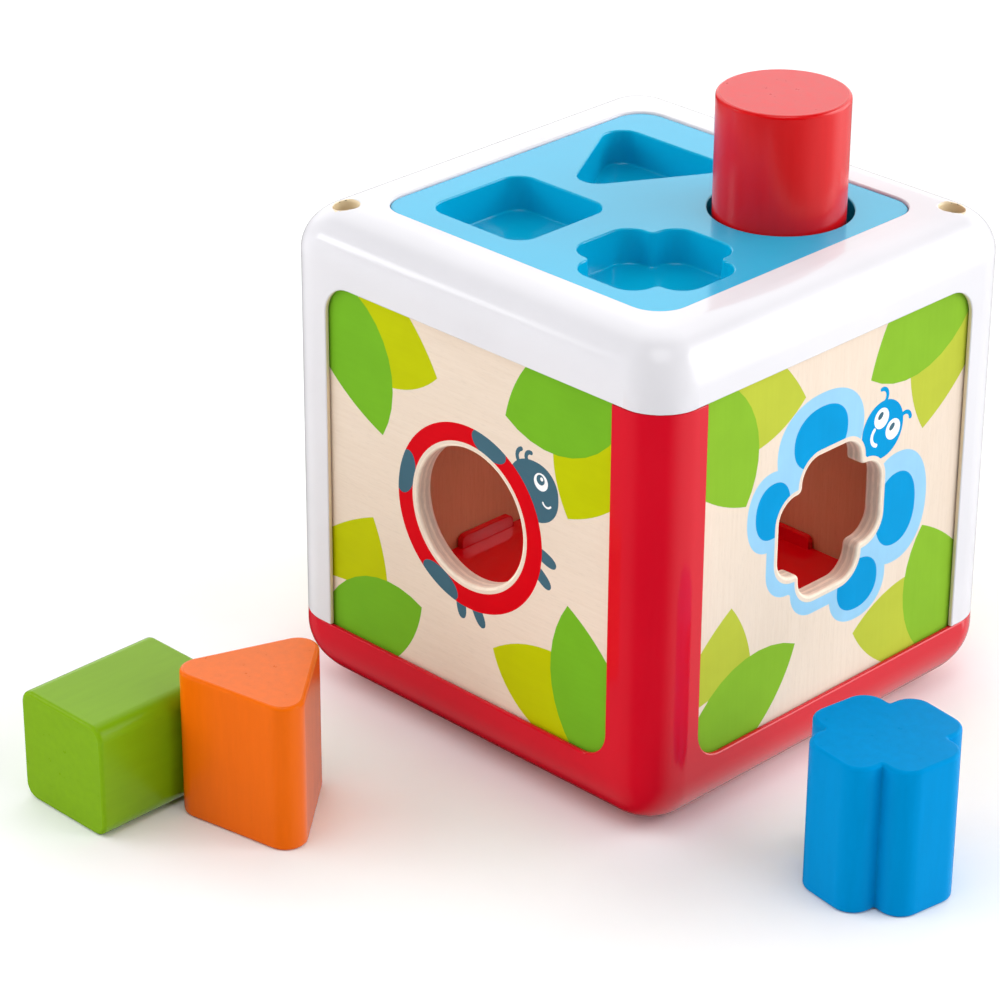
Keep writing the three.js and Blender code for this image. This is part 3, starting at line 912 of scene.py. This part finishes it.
CIRCLE_PANEL_LEAVES = [
    ("lime", (-0.345, 1.80), (-0.235, 1.68), (-0.16, 1.565), (-0.27, 1.485), (-0.46, 1.44), (-0.60, 1.80)),
    ("leaf", (-0.66, 1.80), (-0.425, 1.56), (-0.46, 1.225), (-0.60, 1.295), (-0.80, 1.46), (-0.80, 1.80)),
    ("lime", (0.445, 1.52), (0.47, 1.34), (0.525, 1.225), (0.63, 1.265), (0.80, 1.39), (0.80, 1.70)),
    ("leaf", (0.80, 1.71), (0.47, 1.464), (0.20, 1.535), (0.235, 1.65), (0.33, 1.80), (0.80, 1.80)),
    ("lime", (-0.80, 0.69), (-0.63, 0.80), (-0.52, 0.85), (-0.475, 0.74), (-0.44, 0.54), (-0.80, 0.50)),
    ("leaf", (-0.80, 0.36), (-0.55, 0.58), (-0.25, 0.555), (-0.285, 0.43), (-0.40, 0.27), (-0.80, 0.27)),
    ("lime", (0.50, 0.638), (0.28, 0.605), (0.14, 0.53), (0.20, 0.41), (0.38, 0.27), (0.55, 0.27)),
    ("leaf", (0.56, 0.27), (0.445, 0.60), (0.53, 0.865), (0.64, 0.79), (0.80, 0.62), (0.80, 0.27)),
]
# The cross panel prints its leaves in lighter copies of the leaf and lime inks, painting the brighter light
# and sheen on its side.
CROSS_PANEL_LEAVES = [
    ("pear", (-0.34, 1.80), (-0.25, 1.70), (-0.19, 1.61), (-0.30, 1.53), (-0.50, 1.48), (-0.60, 1.80)),
    ("spring", (-0.62, 1.80), (-0.452, 1.56), (-0.505, 1.27), (-0.61, 1.305), (-0.80, 1.43), (-0.80, 1.80)),
    ("pear", (0.42, 1.54), (0.455, 1.36), (0.515, 1.245), (0.62, 1.31), (0.80, 1.49), (0.80, 1.74)),
    ("spring", (0.80, 1.74), (0.47, 1.49), (0.185, 1.555), (0.215, 1.65), (0.29, 1.80), (0.80, 1.80)),
    ("pear", (-0.80, 0.66), (-0.65, 0.81), (-0.565, 0.87), (-0.50, 0.77), (-0.44, 0.56), (-0.80, 0.50)),
    ("spring", (-0.80, 0.35), (-0.53, 0.605), (-0.19, 0.575), (-0.26, 0.43), (-0.41, 0.27), (-0.80, 0.27)),
    ("pear", (0.52, 0.62), (0.28, 0.57), (0.155, 0.485), (0.22, 0.39), (0.37, 0.27), (0.55, 0.27)),
    ("spring", (0.56, 0.27), (0.458, 0.60), (0.55, 0.815), (0.65, 0.76), (0.80, 0.63), (0.80, 0.27)),
]


def disc(x, z, radius, steps=40):
    return circle_outline(radius * UNIT, spot(x, z), steps)


def oval(x, z, half_x, half_z, power=2.2, tilt=0.0, steps=56):
    """A slightly squared ellipse."""
    points = []
    for step in range(steps):
        angle = 2 * math.pi * step / steps
        c, s = math.cos(angle), math.sin(angle)
        offset = Vector((math.copysign(abs(c) ** (2 / power), c) * half_x,
                         math.copysign(abs(s) ** (2 / power), s) * half_z)) * UNIT
        points.append(spot(x, z) + Matrix.Rotation(math.radians(tilt), 2) @ offset)
    return points


def stroke(route, width):
    """A line of even width along a route of points, with round ends."""
    route = [spot(*point) for point in route]
    half = width * UNIT / 2
    left, right = [], []
    for index, point in enumerate(route):
        ahead = (route[min(index + 1, len(route) - 1)] - route[max(index - 1, 0)]).normalized()
        across = Vector((-ahead.y, ahead.x)) * half
        left.append(point + across)
        right.append(point - across)
    caps = []
    for end, direction in ((route[-1], -1), (route[0], 1)):
        side = right[-1] - end if direction < 0 else left[0] - end
        caps.append([end + Matrix.Rotation(math.pi * step / 6, 2) @ side for step in range(1, 6)])
    return right + caps[0] + left[::-1] + caps[1]


def curl(start, middle, end, width, steps=8):
    """A stroke along an arc."""
    a, b, c = (Vector(p) for p in (start, middle, end))
    return stroke([tuple(p) for p in arc_through(a, b, c, steps)], width)


def ladybird():
    """The print round the round hole. Its legs go under the body, and its spots lie on it."""
    centre = (0.010, 1.037)
    spot_ring = 0.355
    body = disc(*centre, 0.385, 128)
    patches = [("slate", [oval(0.348, 1.277, 0.129, 0.123)])]
    legs = ((0.412, 1.020, -20), (0.393, 0.935, -38), (-0.032, 0.656, -82), (0.060, 0.648, -60))
    for x, z, tilt in legs:
        patches.append(("slate", [oval(x, z, 0.060, 0.026, 2.4, tilt, 32)]))
    patches.append(("scarlet", [body]))
    for angle, half_length in ((73, 0.093), (167, 0.098), (244, 0.103)):
        x = centre[0] + spot_ring * math.cos(math.radians(angle))
        z = centre[1] + spot_ring * math.sin(math.radians(angle))
        patches.append(("slate", [oval(x, z, half_length, 0.052, 2.0, angle + 90), body]))
    patches.append(("slate", [curl((0.283, 1.365), (0.262, 1.398), (0.283, 1.428), 0.018)]))
    patches.append(("slate", [curl((0.322, 1.385), (0.309, 1.411), (0.334, 1.428), 0.018)]))
    patches.append(("white", [disc(0.386, 1.326, 0.036)]))
    patches.append(("slate", [disc(0.384, 1.334, 0.021)]))
    patches.append(("white", [disc(0.390, 1.339, 0.008, 16)]))
    patches.append(("white", [curl((0.397, 1.246), (0.414, 1.232), (0.437, 1.241), 0.008)]))
    return patches


def butterfly():
    """The print round the cross-shaped hole."""
    band = [(-0.378, 1.10, 0), (-0.378, 0.805, 0.13), (-0.232, 0.805, 0.015), (-0.232, 0.672, 0.13),
            (0.10, 0.672, 0), (0.10, 1.10, 0)]
    patches = [("sky", [rounded_outline([(x * UNIT, z * UNIT, r * UNIT) for x, z, r in band])])]
    wings = (
        ((-0.090, 1.400, 0.247, 0.197), (-0.090, 1.415, 0.153, 0.125)),
        ((-0.360, 1.195, 0.135, 0.165), (-0.350, 1.195, 0.097, 0.115)),
        ((0.375, 0.955, 0.186, 0.238), (0.375, 0.950, 0.118, 0.155)),
        ((0.165, 0.702, 0.165, 0.154), (0.165, 0.700, 0.118, 0.107)),
    )
    patches += [("sky", [oval(*outer)]) for outer, inner in wings]
    patches += [("azure", [oval(*inner)]) for outer, inner in wings]
    patches.append(("azure", [disc(0.271, 1.322, 0.122)]))
    patches.append(("azure", [curl((0.276, 1.435), (0.287, 1.478), (0.255, 1.495), 0.018)]))
    patches.append(("azure", [curl((0.385, 1.345), (0.420, 1.347), (0.436, 1.322), 0.018)]))
    for x, z in ((0.262, 1.372), (0.333, 1.304)):
        patches.append(("white", [disc(x, z, 0.043)]))
        patches.append(("slate", [oval(x - 0.006, z + 0.012, 0.018, 0.012, 2.0, 40, 20)]))
    patches.append(("white", [curl((0.222, 1.335), (0.208, 1.300), (0.236, 1.266), 0.016)]))
    return patches


def print_list(shape):
    """A panel's patches with ink names, in the order they were printed."""
    # The cross panel's leaves use the lighter inks that paint its brighter light and sheen.
    leaves = CROSS_PANEL_LEAVES if shape == "cross" else CIRCLE_PANEL_LEAVES
    patches = [(ink_name, [leaf(*points)]) for ink_name, *points in leaves]
    animals = {"circle": ladybird, "cross": butterfly}
    if shape in animals:
        patches += animals[shape]()
    return patches


def add_panel(shape, turn):
    along = "x" if turn % 2 == 0 else "z"
    patches = print_list(shape)
    names = sorted({name for name, parts in patches})
    art = [(3 + names.index(name), parts) for name, parts in patches]
    # The inner faces take the darker, warmer veneer that paints the shade and warm bounce light inside the
    # box.
    materials = [sawn_wood(f"birch_{shape}", BIRCH, along), ply_edge(f"ply_{shape}", PLY),
                 sawn_wood(f"birch_inside_{shape}", INSIDE_BIRCH_PAINTED_SHADE, "z", 0.6, 1.5)]
    materials += [ink(f"{name}_{shape}", INKS[name], along, INK_SHEENS.get(name, PLAIN))
                  for name in names]
    quarter = Matrix.Rotation(math.pi / 2 * turn, 4, "Z")
    add_piece(f"side_{shape}", panel(shape, art), "box", f"panel_{shape}", materials, quarter)


# ================= blocks =================

def add_block(shape, name, slot, body, place, turn=0.0):
    foot = quarter_round((BLOCK_EDGE, 0), (0, BLOCK_EDGE), False)
    top = quarter_round((0, BLOCK_HEIGHT - BLOCK_EDGE), (BLOCK_EDGE, BLOCK_HEIGHT), True)
    mesh = stacked(BLOCKS[shape], [*foot, *top])
    colour = PAINTS[shape]
    sheen = shade(PAINT_SHEENS.get(shape, PLAIN), 1.0)
    paints = (("side", long_grain_paint), ("end", end_grain_paint))
    materials = [paint(f"{slot}_{part}", colour, Specular_Tint=sheen, IOR=PAINT_IORS[shape])
                 for part, paint in paints]
    moved(mesh, Matrix.Rotation(math.radians(turn), 4, "Z"))
    mesh.polygons[0].material_index = 1
    mesh.polygons[-1].material_index = 1
    add_piece(f"{name}_painted", mesh, body, name, materials, place)


# ================= camera, floor and light =================

def view_direction(turn, elevation):
    """A direction `turn` degrees to the right of the camera, seen from the object."""
    azimuth = math.radians(CAMERA_AZIMUTH + turn)
    height = math.radians(elevation)
    return Vector((math.sin(azimuth) * math.cos(height), -math.cos(azimuth) * math.cos(height),
                   math.sin(height)))


def make_camera():
    azimuth, roll = math.radians(CAMERA_AZIMUTH), math.radians(CAMERA_ROLL)
    back = view_direction(0, CAMERA_ELEVATION)
    right = Vector((math.cos(azimuth), math.sin(azimuth), 0))
    up = back.cross(right)
    axes = Matrix((math.cos(roll) * right + math.sin(roll) * up,
                   math.cos(roll) * up - math.sin(roll) * right, back)).transposed()
    camera = bpy.data.objects.new("camera", bpy.data.cameras.new("camera"))
    camera.data.lens = CAMERA_LENS
    camera.data.sensor_width = CAMERA_SENSOR
    stand = (Vector(CAMERA_AIM) + back * CAMERA_DISTANCE) * MM
    camera.matrix_world = Matrix.Translation(stand) @ axes.to_4x4()
    bpy.context.scene.collection.objects.link(camera)
    bpy.context.scene.camera = camera


def make_floor():
    corners = box_outline(-FLOOR_REACH, FLOOR_REACH, -FLOOR_REACH, FLOOR_REACH)
    mesh = mesh_from([(*corner, 0) for corner in corners], [(0, 1, 2, 3)])
    floor = bpy.data.objects.new("floor", mesh)
    bpy.context.scene.collection.objects.link(floor)
    look = Look("floor_paper", Roughness=0.9, Specular_IOR_Level=0.0)
    fibre = look.noise(60, detail=3)
    look.drive("Base Color", look.mixed(fibre, (0.90, 0.90, 0.90, 1), (0.93, 0.93, 0.93, 1)))
    mesh.materials.append(look.material)
    floor.visible_glossy = False


def make_world():
    """Studio surroundings: a dim room with soft bright cards, each (turn, elevation, inner and outer
    angle, brightness)."""
    cards = (
        (180, 30, 22, 50, 1.6),
        (105, 12, 12, 40, 2.65),
        (100, -25, 30, 75, 0.7),
        (-95, -27, 25, 50, 0.2),
        (-95, 22, 2, 8, 4.5),
        (95, 30, 6, 18, 2.5),
        (0, 75, 6, 22, 2.0),
    )
    world = bpy.data.worlds.new("studio")
    world.use_nodes = True
    bpy.context.scene.world = world
    tree = world.node_tree
    direction = tree.nodes.new("ShaderNodeTexCoord").outputs["Generated"]
    total = None
    for turn, elevation, inner, outer, brightness in cards:
        dot = tree.nodes.new("ShaderNodeVectorMath")
        dot.operation = "DOT_PRODUCT"
        dot.inputs[1].default_value = view_direction(turn, elevation)
        tree.links.new(direction, dot.inputs[0])
        card = tree.nodes.new("ShaderNodeMapRange")
        card.interpolation_type = "SMOOTHSTEP"
        card.inputs["From Min"].default_value = math.cos(math.radians(outer))
        card.inputs["From Max"].default_value = math.cos(math.radians(inner))
        card.inputs["To Max"].default_value = brightness
        tree.links.new(dot.outputs["Value"], card.inputs["Value"])
        adder = tree.nodes.new("ShaderNodeMath")
        adder.inputs[1].default_value = ROOM_BRIGHTNESS
        if total is not None:
            tree.links.new(total, adder.inputs[1])
        tree.links.new(card.outputs["Result"], adder.inputs[0])
        total = adder.outputs["Value"]
    tree.links.new(total, tree.nodes["Background"].inputs["Strength"])
    tree.nodes["Background"].inputs["Color"].default_value = (1, 1, 1, 1)


def add_lamp(name, turn, elevation, power):
    """A soft panel of light aimed at the box, which shows in no reflection."""
    lamp = bpy.data.objects.new(name, bpy.data.lights.new(name, "AREA"))
    lamp.data.shape = "DISK"
    lamp.data.size = LAMP_SIZE
    lamp.data.energy = power
    away = view_direction(turn, elevation)
    facing = away.to_track_quat("Z", "Y").to_matrix().to_4x4()
    lamp.matrix_world = Matrix.Translation(Vector(LAMP_AIM) + away * LAMP_DISTANCE) @ facing
    lamp.visible_glossy = False
    bpy.context.scene.collection.objects.link(lamp)


def add_inner_glow():
    """A faint red panel under the tray, for the daylight that comes through the red plastic."""
    glow = bpy.data.objects.new("inner_glow", bpy.data.lights.new("inner_glow", "AREA"))
    glow.data.shape = "DISK"
    glow.data.size = GLOW_SIZE
    glow.data.spread = GLOW_SPREAD
    glow.data.energy = GLOW_POWER
    glow.data.color = GLOW_COLOUR
    glow.location = (0, 0, (WELL_FLOOR - CUP_WALL - GLOW_BELOW_TRAY) * MM)
    bpy.context.scene.collection.objects.link(glow)


def make_light():
    bpy.context.scene.view_settings.view_transform = "Standard"
    make_world()
    for name, turn, elevation, power in LAMPS:
        add_lamp(name, turn, elevation, power)
    add_inner_glow()


# ================= the assembly =================

def main():
    make_camera()
    make_floor()
    make_light()
    red = plastic("red_abs", RED)
    white = plastic("white_abs", WHITE)
    # The rim's wells and window returns take a cream that paints their warm bounced light and shade.
    painted_bounce_white = plastic("white_abs_painted_recess_bounce", PAINTED_BOUNCE_CREAM)
    blue = plastic("blue_abs", TRAY_BLUE)
    zinc = steel("zinc_plate")
    add_piece("base_shell", soften(base_tray()), "box", "base_tray", [red])
    add_piece("rim_shell", mark_painted_recess_light(soften(top_frame())), "box", "top_frame",
              [white, painted_bounce_white])
    add_piece("tray_shell", sorting_tray(), "tray", "sorting_tray", [blue])
    for turn, shape in enumerate(SIDES):
        add_panel(shape, turn)
    for side, sign in (("left", -1), ("right", 1)):
        place = Matrix.Translation((sign * SCREW_PLACE, sign * SCREW_PLACE, 0))
        add_piece(f"screw_{side}", leg_screw(), "box", f"leg_screw_{side}", [zinc], place)
    add_block("circle", "round_block", "red_paint", "block_round", Matrix.Translation(ROUND_BLOCK_PLACE))
    add_block("square", "square_block", "green_paint", "block_square",
              Matrix.Translation(SQUARE_BLOCK_PLACE) @ Matrix.Rotation(math.pi / 2, 4, "X"))
    add_block("triangle", "triangle_block", "orange_paint", "block_triangle",
              Matrix.Translation(TRIANGLE_BLOCK_PLACE), TRIANGLE_BLOCK_TURN)
    add_block("cross", "cross_block", "blue_paint", "block_cross",
              Matrix.Translation(CROSS_BLOCK_PLACE), CROSS_BLOCK_TURN)


main()
